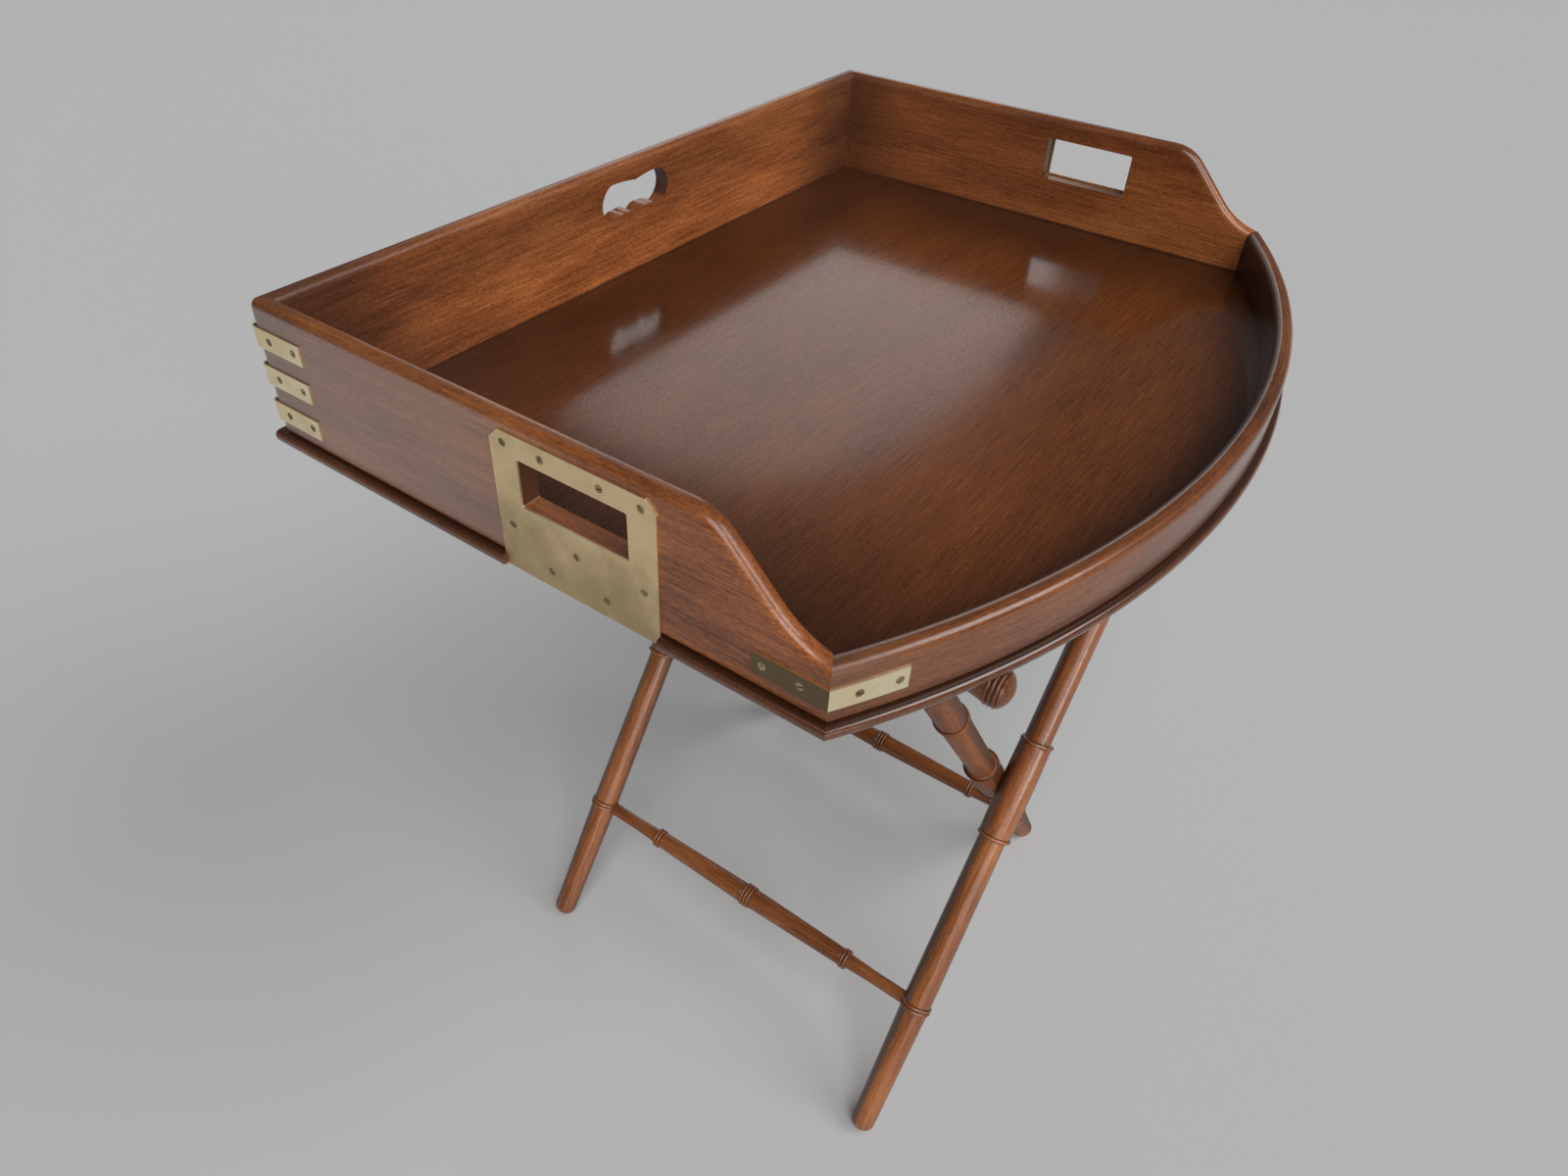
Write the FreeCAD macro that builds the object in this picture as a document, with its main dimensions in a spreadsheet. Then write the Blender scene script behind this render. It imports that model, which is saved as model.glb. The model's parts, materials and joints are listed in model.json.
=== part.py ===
import FreeCAD, Part
import math
import os

import Sketcher
from FreeCAD import Placement, Rotation, Vector

# A butler's tray table: a bow-fronted mahogany tray with brass straps and handle plates,
# which lies loose on a folding stand of turned legs. Millimetres, +Z up, floor at Z = 0,
# the bow front towards -Y, the origin under the middle of the tray.

doc = FreeCAD.newDocument("ButlersTrayTable")
sheet = doc.addObject("Spreadsheet::Sheet", "Sizes")


class Size:
    """A number together with the formula that gives it from the sheet's cells."""

    def __init__(self, value, formula):
        self.value = float(value)
        self.formula = formula

    def __float__(self):
        return self.value

    def __add__(self, other):
        return joined(self, "+", other, self.value + float(other))

    def __radd__(self, other):
        return joined(other, "+", self, float(other) + self.value)

    def __sub__(self, other):
        return joined(self, "-", other, self.value - float(other))

    def __rsub__(self, other):
        return joined(other, "-", self, float(other) - self.value)

    def __mul__(self, other):
        return joined(self, "*", other, self.value * float(other))

    def __rmul__(self, other):
        return joined(other, "*", self, float(other) * self.value)

    def __truediv__(self, other):
        return joined(self, "/", other, self.value / float(other))

    def __neg__(self):
        return Size(-self.value, f"(0 - {self.formula})")


def formula(number):
    return number.formula if isinstance(number, Size) else repr(float(number))


def joined(left, sign, right, value):
    return Size(value, f"({formula(left)} {sign} {formula(right)})")


def sine(angle):
    return Size(math.sin(math.radians(float(angle))), f"sin({formula(angle)})")


def cosine(angle):
    return Size(math.cos(math.radians(float(angle))), f"cos({formula(angle)})")


def arctangent(number):
    return Size(math.degrees(math.atan(float(number))), f"atan({formula(number)})")


def root(number):
    return Size(math.sqrt(float(number)), f"sqrt({formula(number)})")


def size(name, value):
    """Writes a driving dimension into the next cell of the sheet."""
    size.row += 1
    sheet.set(f"A{size.row}", name)
    sheet.set(f"B{size.row}", str(value))
    sheet.setAlias(f"B{size.row}", name)
    return Size(value, f"Sizes.{name}")


size.row = 0

# Tray
tray_width = size("tray_width", 764)
tray_depth = size("tray_depth", 584)
side_length = size("side_length", 476.5)
tray_rest_height = size("tray_rest_height", 740)
base_thickness = size("base_thickness", 10)
floor_rebate = size("floor_rebate", 1.5)
bead_overhang = size("bead_overhang", 6)
bead_round = size("bead_round", 4)
base_corner_round = size("base_corner_round", 5.5)
board_thickness = size("board_thickness", 14.5)
wall_height = size("wall_height", 101.5)
front_height = size("front_height", 39)
corner_radius = size("corner_radius", 7)
edge_round = size("edge_round", 6.2)
quirk = size("quirk", 2.2)
ogee_slope = size("ogee_slope", 45)
ogee_end_slope = size("ogee_end_slope", 8)
ogee_top_radius = size("ogee_top_radius", 40)
ogee_foot_radius = size("ogee_foot_radius", 70)

# Hand holes
hand_hole_width = size("hand_hole_width", 88)
hand_hole_height = size("hand_hole_height", 40)
hand_hole_middle = size("hand_hole_middle", 62.5)
hand_hole_corner = size("hand_hole_corner", 2)
hand_hole_from_front = size("hand_hole_from_front", 179.5)
back_hole_width = size("back_hole_width", 90)
back_hole_height = size("back_hole_height", 34)
back_hole_middle = size("back_hole_middle", 68.5)
back_hole_dip = size("back_hole_dip", 3)
back_hole_hump = size("back_hole_hump", 4.5)
back_hole_shoulder_share = size("back_hole_shoulder_share", 0.7)
back_hole_hump_share = size("back_hole_hump_share", 0.38)
back_hole_hump_round = size("back_hole_hump_round", 0.95)
back_hole_end_share = size("back_hole_end_share", 0.55)

# Brass
plate_width = size("plate_width", 128)
plate_top = size("plate_top", 94)
plate_bottom = size("plate_bottom", 9)
plate_thickness = size("plate_thickness", 1.4)
plate_clip = size("plate_clip", 8)
plate_hole_width = size("plate_hole_width", 85)
plate_hole_height = size("plate_hole_height", 34)
plate_hole_middle = size("plate_hole_middle", 61)
plate_hole_corner = size("plate_hole_corner", 1.5)
strap_width = size("strap_width", 15.4)
strap_thickness = size("strap_thickness", 1.2)
strap_bend_gap = size("strap_bend_gap", 4)
back_strap_leg = size("back_strap_leg", 51)
back_strap_lowest = size("back_strap_lowest", 9)
back_strap_pitch = size("back_strap_pitch", 29)
front_strap_leg = size("front_strap_leg", 50)
front_strap_lowest = size("front_strap_lowest", 10)
plate_screw_edge = size("plate_screw_edge", 11)
plate_screw_inner = size("plate_screw_inner", 22.7)
plate_screw_top = size("plate_screw_top", 8)
plate_screw_low = size("plate_screw_low", 26.3)
plate_screw_foot = size("plate_screw_foot", 3.9)
back_screw_near = size("back_screw_near", 17)
back_screw_far = size("back_screw_far", 43.2)
front_screw_near = size("front_screw_near", 18)
front_screw_far = size("front_screw_far", 43)
screw_head_radius = size("screw_head_radius", 2.75)
screw_head_dome = size("screw_head_dome", 0.25)
screw_shank_radius = size("screw_shank_radius", 1.3)
screw_shank_length = size("screw_shank_length", 9)
screw_slot_width = size("screw_slot_width", 0.9)
screw_slot_depth = size("screw_slot_depth", 0.7)
screw_clearance = size("screw_clearance", 0.05)

# Stand
rail_inset = size("rail_inset", 110.1)
pivot_share = size("pivot_share", 0.4656)
pivot_to_collar = size("pivot_to_collar", 53)
stretcher_height = size("stretcher_height", 128.6)
ring_below_rail = size("ring_below_rail", 219)
stand_inset = size("stand_inset", 74.5)
leg_offset = size("leg_offset", 30.5)
stand_setback = size("stand_setback", 15)
stand_shift = size("stand_shift", -4)
rest_gap = size("rest_gap", 0.3)
running_gap = size("running_gap", 0.05)
foot_radius = size("foot_radius", 12.6)
foot_round = size("foot_round", 9)
foot_flat = size("foot_flat", 0.7)
shin_radius = size("shin_radius", 14.8)
calf_radius = size("calf_radius", 15)
waist_radius = size("waist_radius", 14)
pivot_end_radius = size("pivot_end_radius", 16.2)
pivot_swell = size("pivot_swell", 1)
arm_radius = size("arm_radius", 13.6)
head_radius = size("head_radius", 12.7)
bead_width = size("bead_width", 4.2)
bead_rise = size("bead_rise", 2)
groove_depth = size("groove_depth", 0.3)
groove_width = size("groove_width", 0.8)
rod_radius = size("rod_radius", 11.4)
rod_waist_radius = size("rod_waist_radius", 9.5)
rod_end_radius = size("rod_end_radius", 8.1)
tenon_radius = size("tenon_radius", 7)
rod_taper = size("rod_taper", 33.6)
ring_from_leg = size("ring_from_leg", 87.5)
stretcher_bore_past = size("stretcher_bore_past", 3)
knob_gap = size("knob_gap", 0.8)
knob_length = size("knob_length", 34)
knob_neck_radius = size("knob_neck_radius", 8.8)
knob_dome = size("knob_dome", 5.5)
knob_bead_width = size("knob_bead_width", 3.1)
knob_bead_rise = size("knob_bead_rise", 1.4)
knob_socket = size("knob_socket", 16)
pin_radius = size("pin_radius", 4)
pin_depth = size("pin_depth", 11)
webbing_width = size("webbing_width", 50)
webbing_thickness = size("webbing_thickness", 1.6)
webbing_tail = size("webbing_tail", 9)
tack_head_radius = size("tack_head_radius", 3.2)
tack_head_rise = size("tack_head_rise", 1.4)
tack_shank_radius = size("tack_shank_radius", 0.9)
tack_shank_length = size("tack_shank_length", 8)
tack_pitch = size("tack_pitch", 17)
doc.recompute()


def arch_radius(width, rise):
    """The radius of an arc this wide and this high."""
    return (width * width / 4 + rise * rise) / (2 * rise)


# Places that follow from the sizes
half_width = tray_width / 2
back_y = tray_depth / 2
corner_y = back_y - side_length
bow_rise = tray_depth - side_length
bow_radius = arch_radius(tray_width, bow_rise)
bow_centre_y = bow_radius - back_y
inner_half_width = half_width - board_thickness
inner_bow_radius = bow_radius - board_thickness
inner_back_y = back_y - board_thickness
hand_hole_y = corner_y + hand_hole_from_front
floor_z = tray_rest_height + base_thickness
wall_foot_z = floor_z - floor_rebate
rail_reach = rod_radius - groove_depth + bead_rise
rail_z = tray_rest_height - rest_gap - rail_reach
knob_radius = rail_reach + groove_depth - knob_bead_rise
pivot_z = rail_z * pivot_share
rail_x = half_width - rail_inset
lean_angle = arctangent(rail_x / (rail_z - pivot_z))
pivot_to_rail = (rail_z - pivot_z) / cosine(lean_angle)
pivot_to_stretcher = (pivot_z - stretcher_height) / cosine(lean_angle)
stretcher_x = pivot_to_stretcher * sine(lean_angle)
stand_half_depth = back_y - stand_inset
inner_half_depth = stand_half_depth - leg_offset
rod_ring_place = stand_half_depth - ring_from_leg
knob_start = stand_half_depth + head_radius + knob_gap
rail_half_length = knob_start + knob_length
webbing_place = rod_ring_place / 2
leg_flat = leg_offset / 2 - rest_gap / 2
bead_radius = arch_radius(bead_width, bead_rise)


def bow_y(x, radius):
    """Where the bow front's arc of this radius crosses x."""
    return bow_centre_y - root(radius * radius - x * x)


pieces = []


def new_body(label):
    body = doc.addObject("PartDesign::Body", label)
    body.Label = label
    return body


def bind(thing, path, number):
    thing.setExpression(path, formula(number))


def arc_between(start, end, radius):
    """The short arc from start to end; a positive radius turns left, a negative one right."""
    chord = end - start
    across = Vector(-chord.y, chord.x, 0).normalize()
    rise = math.sqrt(radius * radius - chord.Length ** 2 / 4)
    centre = start + chord * 0.5 + across * math.copysign(rise, radius)
    first, last = (start, end) if radius > 0 else (end, start)
    angles = [math.atan2(point.y - centre.y, point.x - centre.x) for point in (first, last)]
    return Part.ArcOfCircle(Part.Circle(centre, Vector(0, 0, 1), abs(radius)), *angles)


def add_outline(sketch, corners):
    """Adds a closed outline. A corner is (x, y), or (x, y, radius) where an arc leads to it."""
    first = sketch.GeometryCount
    constraints = []
    numbers = []
    ends = []
    for index, corner in enumerate(corners):
        start = Vector(float(corners[index - 1][0]), float(corners[index - 1][1]), 0)
        end = Vector(float(corner[0]), float(corner[1]), 0)
        if len(corner) == 2:
            sketch.addGeometry(Part.LineSegment(start, end))
            ends.append((1, 2))
        else:
            sketch.addGeometry(arc_between(start, end, float(corner[2])))
            ends.append((1, 2) if float(corner[2]) > 0 else (2, 1))
    for index, corner in enumerate(corners):
        following = (index + 1) % len(corners)
        here = first + index
        constraints.append(Sketcher.Constraint(
            "Coincident", here, ends[index][1], first + following, ends[following][0]))
        numbers.append(None)
        for direction, number in zip(("DistanceX", "DistanceY"), corner):
            constraints.append(Sketcher.Constraint(
                direction, -1, 1, here, ends[index][1], float(number)))
            numbers.append(number)
        if len(corner) == 3:
            constraints.append(Sketcher.Constraint("Radius", here, abs(float(corner[2]))))
            numbers.append(corner[2] if float(corner[2]) > 0 else -corner[2])
    for constraint, number in zip(sketch.addConstraint(constraints), numbers):
        if isinstance(number, Size):
            bind(sketch, f"Constraints[{constraint}]", number)


def add_circle(sketch, x, y, radius):
    circle = Part.Circle(Vector(float(x), float(y), 0), Vector(0, 0, 1), float(radius))
    geometry = sketch.addGeometry(circle)
    for kind, number in (("DistanceX", x), ("DistanceY", y)):
        constraint = sketch.addConstraint(Sketcher.Constraint(kind, -1, 1, geometry, 3, float(number)))
        if isinstance(number, Size):
            bind(sketch, f"Constraints[{constraint}]", number)
    constraint = sketch.addConstraint(Sketcher.Constraint("Radius", geometry, float(radius)))
    bind(sketch, f"Constraints[{constraint}]", radius)


def new_sketch(body, plane, level):
    """A sketch on one of the body's own planes, moved along the plane's normal by level."""
    sketch = body.newObject("Sketcher::SketchObject", "Sketch")
    support = [feature for feature in body.Origin.OriginFeatures if feature.Role == plane][0]
    sketch.AttachmentSupport = (support, [""])
    sketch.MapMode = "FlatFace"
    bind(sketch, "AttachmentOffset.Base.z", level)
    return sketch


def pad(body, sketch, length):
    feature = body.newObject("PartDesign::Pad", "Pad")
    feature.Profile = sketch
    bind(feature, "Length", length)
    doc.recompute()
    return feature


def pocket(body, sketch, length, reverse=False, both_ways=False):
    """Cuts against the sketch's normal, or along it when reversed, and checks that it cut."""
    before = body.Shape.Volume
    feature = body.newObject("PartDesign::Pocket", "Pocket")
    feature.Profile = sketch
    bind(feature, "Length", length)
    feature.Reversed = reverse
    if both_ways:
        feature.SideType = "Symmetric"
    doc.recompute()
    if not feature.Shape.Volume < before:
        raise ValueError(f"{body.Label}: a pocket cut nothing")
    return feature


def dress(body, kind, amount, wanted):
    """Rounds or bevels the edges that the test picks."""
    base = body.Tip
    names = [f"Edge{number}" for number, edge in enumerate(base.Shape.Edges, 1) if wanted(edge)]
    feature = body.newObject(f"PartDesign::{kind}", kind)
    feature.Base = (base, names)
    bind(feature, "Radius" if kind == "Fillet" else "Size", amount)
    doc.recompute()
    return feature


def lies_at(edge, axis, place):
    """True where the whole edge lies in the plane that the axis crosses at place."""
    box = edge.BoundBox
    low = getattr(box, axis + "Min")
    high = getattr(box, axis + "Max")
    return abs(low - float(place)) < 0.01 and abs(high - float(place)) < 0.01


def rounded_box(width, height, x, middle, radius):
    """A rectangle with round corners about the point (x, middle)."""
    left = x - width / 2
    right = x + width / 2
    top = middle + height / 2
    bottom = middle - height / 2
    return [
        (right - radius, bottom), (right, bottom + radius, radius),
        (right, top - radius), (right - radius, top, radius), (left + radius, top),
        (left, top - radius, radius), (left, bottom + radius), (left + radius, bottom, radius),
    ]


def drilled(label, body, radius, depth, places):
    """The body with a round hole at each place, bored inwards from the place's own XY plane."""
    holes = [Part.makeCylinder(float(radius), float(depth)) for place in places]
    for hole, place in zip(holes, places):
        hole.Placement = place * Placement(Vector(0, 0, -float(depth)), Rotation())
    tool = doc.addObject("Part::Feature", label + "_holes")
    tool.Shape = Part.makeCompound(holes)
    cut = doc.addObject("Part::Cut", label + "_drilled")
    cut.Base = body
    cut.Tool = tool
    return cut


def finish(label, shape_object):
    """Names the finished piece and keeps it for export."""
    if shape_object.Label != label:
        shape_object.Label = label
    pieces.append((label, shape_object))


def group(label, model, places):
    """Copies of one small piece, as separate solids of one node."""
    copies = []
    for place in places:
        copy = model.Shape.copy()
        copy.Placement = place * copy.Placement
        copies.append(copy)
    feature = doc.addObject("Part::Feature", label)
    feature.Shape = Part.makeCompound(copies)
    feature.Label = label
    pieces.append((label, feature))


# Tray base: a panel with a half-round bead, stepped up inside the walls
def tray_outline(x, y, radius):
    """The tray's plan: straight back and sides at x and y, the bow's arc at the front."""
    front = bow_y(x, radius)
    return [(x, y), (-x, y), (-x, front), (x, front, radius)]


def make_tray_base():
    body = new_body("tray_base")
    plan = new_sketch(body, "XY_Plane", tray_rest_height)
    ledge_x = half_width + bead_overhang
    ledge_y = back_y + bead_overhang
    turn = base_corner_round
    front = bow_y(ledge_x, bow_radius + bead_overhang)
    add_outline(plan, [
        (ledge_x, ledge_y - turn), (ledge_x - turn, ledge_y, turn), (-ledge_x + turn, ledge_y),
        (-ledge_x, ledge_y - turn, turn), (-ledge_x, front),
        (ledge_x, front, bow_radius + bead_overhang),
    ])
    ledge = base_thickness - floor_rebate
    pad(body, plan, ledge)
    top = tray_rest_height + ledge
    dress(body, "Fillet", bead_round,
          lambda edge: lies_at(edge, "Z", tray_rest_height) or lies_at(edge, "Z", top))
    for side in (-1, 1):
        notch = new_sketch(body, "XY_Plane", tray_rest_height)
        front = hand_hole_y - plate_width / 2 - running_gap
        back = hand_hole_y + plate_width / 2 + running_gap
        outside = half_width + 2 * bead_overhang
        edges = sorted([side * half_width, side * outside], key=float)
        add_outline(notch, [(edges[0], front), (edges[1], front), (edges[1], back), (edges[0], back)])
        pocket(body, notch, base_thickness, reverse=True)
    floor = new_sketch(body, "XY_Plane", top)
    add_outline(floor, tray_outline(
        inner_half_width - running_gap, inner_back_y - running_gap, inner_bow_radius - running_gap))
    pad(body, floor, floor_rebate)
    finish("tray_base", body)


# Back corner: the boards meet on a mitre and share one rounded outside corner
corner_x = half_width - corner_radius
corner_mid = corner_radius * cosine(45)
full_height = wall_height + floor_rebate
longest_end_cut = 1.6 * board_thickness


def back_hole_outline():
    """A hand hole with round ends, a dipped top edge and a twice-humped bottom edge."""
    half = back_hole_width / 2
    top = floor_z + back_hole_middle + back_hole_height / 2
    bottom = floor_z + back_hole_middle - back_hole_height / 2
    middle = floor_z + back_hole_middle
    shoulder = half * back_hole_shoulder_share
    hump = half * back_hole_hump_share
    end_radius = back_hole_height * back_hole_end_share
    wave_radius = arch_radius(2 * shoulder, back_hole_dip)
    hump_radius = hump * back_hole_hump_round
    return [
        (shoulder, top, -wave_radius), (half, middle, -end_radius),
        (shoulder, bottom, -end_radius), (hump, bottom + back_hole_hump, hump_radius),
        (0, bottom, hump_radius), (-hump, bottom + back_hole_hump, hump_radius),
        (-shoulder, bottom, hump_radius), (-half, middle, -end_radius),
        (-shoulder, top, -end_radius), (0, top - back_hole_dip, -wave_radius),
    ]


def make_back_board(screw_places):
    body = new_body("back_board_blank")
    plan = new_sketch(body, "XY_Plane", wall_foot_z)
    add_outline(plan, [
        (inner_half_width, inner_back_y),
        (corner_x + corner_mid, back_y - corner_radius + corner_mid),
        (corner_x, back_y, corner_radius), (-corner_x, back_y),
        (-corner_x - corner_mid, back_y - corner_radius + corner_mid, corner_radius),
        (-inner_half_width, inner_back_y),
    ])
    pad(body, plan, full_height)
    hole = new_sketch(body, "XZ_Plane", -back_y)
    add_outline(hole, back_hole_outline())
    pocket(body, hole, board_thickness, reverse=True)
    round_board(body, wall_foot_z + full_height)
    dress(body, "Chamfer", quirk, lambda edge: lies_at(edge, "Z", wall_foot_z)
          and edge.BoundBox.YMax > float(back_y) - 0.01 and edge.BoundBox.XLength > float(corner_x))
    finish("back_board", drilled(
        "back_board", body, screw_shank_radius + screw_clearance, screw_hole_depth, screw_places))


def round_board(body, top):
    """Rounds both long top edges of a board, leaving its mitred ends square."""
    def is_long_top_edge(edge):
        ends = [vertex.Point for vertex in edge.Vertexes]
        straight = abs((ends[0] - ends[-1]).Length - edge.Length) < 0.001
        crosses = straight and edge.Length < float(longest_end_cut)
        return lies_at(edge, "Z", top) and not crosses
    dress(body, "Fillet", edge_round, is_long_top_edge)


# Side boards: full height at the back, swept down to the front rail in an ogee
def ogee_outline():
    """What is cut away above the ogee, as (y, z) corners."""
    top = floor_z + wall_height
    drop = wall_height - front_height
    straight = (drop - ogee_top_radius * (1 - cosine(ogee_slope))
                - ogee_foot_radius * (cosine(ogee_end_slope) - cosine(ogee_slope))) / sine(ogee_slope)
    foot_run = ogee_foot_radius * (sine(ogee_slope) - sine(ogee_end_slope))
    foot_fall = ogee_foot_radius * (cosine(ogee_end_slope) - cosine(ogee_slope))
    end_y = corner_y
    end_z = floor_z + front_height
    foot_y = end_y + foot_run
    foot_z = end_z + foot_fall
    knee_y = foot_y + straight * cosine(ogee_slope)
    knee_z = foot_z + straight * sine(ogee_slope)
    crest_y = knee_y + ogee_top_radius * sine(ogee_slope)
    spare = board_thickness
    return [
        (crest_y, top + spare), (end_y - spare, top + spare), (end_y - spare, end_z),
        (end_y, end_z), (foot_y, foot_z, ogee_foot_radius), (knee_y, knee_z),
        (crest_y, top, -ogee_top_radius),
    ]


def make_side(label, side, screw_places):
    body = new_body(label + "_blank")
    plan = new_sketch(body, "XY_Plane", wall_foot_z)
    outer = half_width * side
    inner = inner_half_width * side
    turn = (corner_x + corner_mid) * side
    inner_front = bow_y(inner_half_width, inner_bow_radius)
    add_outline(plan, [
        (inner, inner_back_y), (turn, back_y - corner_radius + corner_mid),
        (outer, back_y - corner_radius, -side * corner_radius), (outer, corner_y), (inner, inner_front),
    ])
    pad(body, plan, full_height)
    sweep = new_sketch(body, "YZ_Plane", 0)
    add_outline(sweep, ogee_outline())
    pocket(body, sweep, half_width + board_thickness, reverse=side > 0)
    hole = new_sketch(body, "YZ_Plane", 0)
    add_outline(hole, rounded_box(
        hand_hole_width, hand_hole_height, hand_hole_y, floor_z + hand_hole_middle, hand_hole_corner))
    pocket(body, hole, half_width + board_thickness, reverse=side > 0)

    def is_top_edge(edge):
        middle = edge.valueAt((edge.FirstParameter + edge.LastParameter) / 2)
        along = edge.BoundBox.YLength > float(longest_end_cut) or edge.BoundBox.XLength < 0.01
        turned = lies_at(edge, "Z", floor_z + wall_height) and edge.Curve.TypeId == "Part::GeomCircle"
        above = edge.BoundBox.ZMin > float(floor_z + front_height) - 0.01
        in_hole = (abs(middle.y - float(hand_hole_y)) < float(hand_hole_width) / 2 + 0.1
                   and middle.z < float(floor_z + hand_hole_middle + hand_hole_height / 2) + 0.1)
        upright = edge.BoundBox.YLength < 0.01
        return turned or (above and along and not in_hole and not upright)

    dress(body, "Fillet", edge_round, is_top_edge)
    dress(body, "Chamfer", quirk, lambda edge: lies_at(edge, "Z", wall_foot_z)
          and lies_at(edge, "X", outer))
    finish(label, drilled(
        label, body, screw_shank_radius + screw_clearance, screw_hole_depth, screw_places))


def make_bow_rail(screw_places):
    body = new_body("bow_rail_blank")
    plan = new_sketch(body, "XY_Plane", wall_foot_z)
    inner_front = bow_y(inner_half_width, inner_bow_radius)
    add_outline(plan, [
        (-half_width, corner_y), (half_width, corner_y, bow_radius), (inner_half_width, inner_front),
        (-inner_half_width, inner_front, -inner_bow_radius),
    ])
    pad(body, plan, front_height + floor_rebate)
    round_board(body, floor_z + front_height)
    dress(body, "Chamfer", quirk, lambda edge: lies_at(edge, "Z", wall_foot_z)
          and edge.Curve.TypeId == "Part::GeomCircle" and edge.Curve.Radius > float(inner_bow_radius) + 1)
    finish("bow_rail", drilled(
        "bow_rail", body, screw_shank_radius + screw_clearance, screw_hole_depth, screw_places))


# Brass plates and straps
screw_hole_depth = screw_shank_length + plate_thickness + screw_clearance


def make_plate(label, side, screw_places):
    body = new_body(label + "_blank")
    face = new_sketch(body, "YZ_Plane", half_width * side)
    left = hand_hole_y - plate_width / 2
    right = hand_hole_y + plate_width / 2
    top = floor_z + plate_top
    bottom = floor_z - plate_bottom
    add_outline(face, [
        (left, bottom), (right, bottom), (right, top - plate_clip), (right - plate_clip, top),
        (left + plate_clip, top), (left, top - plate_clip),
    ])
    add_outline(face, rounded_box(
        plate_hole_width, plate_hole_height, hand_hole_y, floor_z + plate_hole_middle,
        plate_hole_corner))
    feature = pad(body, face, plate_thickness)
    feature.Reversed = side < 0
    doc.recompute()
    finish(label, drilled(
        label, body, screw_head_radius + screw_clearance, 2 * plate_thickness, raised(screw_places)))


def raised(places):
    """The same places, moved outwards so that a hole breaks cleanly through the face."""
    return [place * Placement(Vector(0, 0, float(plate_thickness) / 2), Rotation()) for place in places]


def make_back_strap(label, side, lowest, screw_places):
    """A strap bent round the rounded back corner."""
    body = new_body(label + "_blank")
    plan = new_sketch(body, "XY_Plane", floor_z + lowest)
    inner_turn = corner_radius - strap_bend_gap
    outer_turn = inner_turn + strap_thickness
    face_x = half_width * side
    skin_x = (half_width + strap_thickness) * side
    skin_y = back_y + strap_thickness
    leg_y = back_y - back_strap_leg
    leg_x = (half_width - back_strap_leg) * side
    turn_x = (half_width - inner_turn) * side
    turn_y = back_y - inner_turn
    add_outline(plan, [
        (face_x, leg_y), (skin_x, leg_y), (skin_x, turn_y), (turn_x, skin_y, side * outer_turn),
        (leg_x, skin_y), (leg_x, back_y), (turn_x, back_y), (face_x, turn_y, -side * inner_turn),
    ])
    pad(body, plan, strap_width)
    finish(label, drilled(
        label, body, screw_head_radius + screw_clearance, 2 * plate_thickness, raised(screw_places)))


def make_front_strap(label, side, screw_places):
    """A strap bent round the front corner, its second leg curved with the bow."""
    body = new_body(label + "_blank")
    plan = new_sketch(body, "XY_Plane", floor_z + front_strap_lowest)
    inner_radius = bow_radius + running_gap
    outer_radius = inner_radius + strap_thickness
    face_x = half_width * side
    skin_x = (half_width + strap_thickness) * side
    leg_y = corner_y + front_strap_leg
    end_x = half_width * side - side * front_strap_leg * (bow_centre_y - corner_y) / bow_radius
    ratio = outer_radius / inner_radius
    end_y = bow_y(end_x, inner_radius)
    add_outline(plan, [
        (face_x, leg_y), (face_x, bow_y(face_x, inner_radius)),
        (end_x, end_y, -side * inner_radius),
        (end_x * ratio, bow_centre_y - (bow_centre_y - end_y) * ratio),
        (skin_x, bow_y(skin_x, outer_radius), side * outer_radius), (skin_x, leg_y),
    ])
    pad(body, plan, strap_width)
    finish(label, drilled(
        label, body, screw_head_radius + screw_clearance, 2 * plate_thickness, raised(screw_places)))


def make_screw(thickness):
    """A slotted screw whose head fills the brass and stands a little proud of it."""
    body = new_body("screw")
    profile = new_sketch(body, "XZ_Plane", 0)
    dome_radius = arch_radius(2 * screw_head_radius, screw_head_dome)
    add_outline(profile, [
        (0, -thickness - screw_shank_length), (screw_shank_radius, -thickness - screw_shank_length),
        (screw_shank_radius, -thickness), (screw_head_radius, -thickness), (screw_head_radius, 0),
        (0, screw_head_dome, dome_radius),
    ])
    turn(body, profile)
    slot = new_sketch(body, "XY_Plane", screw_head_dome)
    half = screw_slot_width / 2
    reach = screw_head_radius + screw_slot_width
    add_outline(slot, [(-reach, -half), (reach, -half), (reach, half), (-reach, half)])
    pocket(body, slot, screw_slot_depth)
    return body


def turn(body, profile):
    feature = body.newObject("PartDesign::Revolution", "Revolution")
    feature.Profile = profile
    feature.ReferenceAxis = (profile, ["V_Axis"])
    feature.Angle = 360
    doc.recompute()
    return feature


def turned(label, corners):
    """A body turned about its own Z axis from (radius, height) corners."""
    body = new_body(label)
    profile = new_sketch(body, "XZ_Plane", 0)
    add_outline(profile, corners)
    turn(body, profile)
    return body


def ring(middle, below, above, beads, width=bead_width, rise=bead_rise):
    """A turned ring of beads that stands out from the radius below it and the radius above it."""
    larger = below if float(below) > float(above) else above
    bed = larger - groove_depth
    start = middle - width * beads / 2
    corners = [(below, start - groove_width), (bed, start)]
    for bead in range(1, beads + 1):
        corners.append((bed, start + width * bead, arch_radius(width, rise)))
    corners.append((above, start + width * beads + groove_width))
    return corners


# Stand: places on the legs are measured along the leg from the pivot, upwards
foot_end = (foot_round - foot_flat - pivot_z
            + (foot_radius - foot_round) * sine(lean_angle)) / cosine(lean_angle) - foot_round
swell_half = pivot_to_collar - bead_width / 2 - groove_width
swell_radius = arch_radius(2 * swell_half, pivot_swell)


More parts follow.
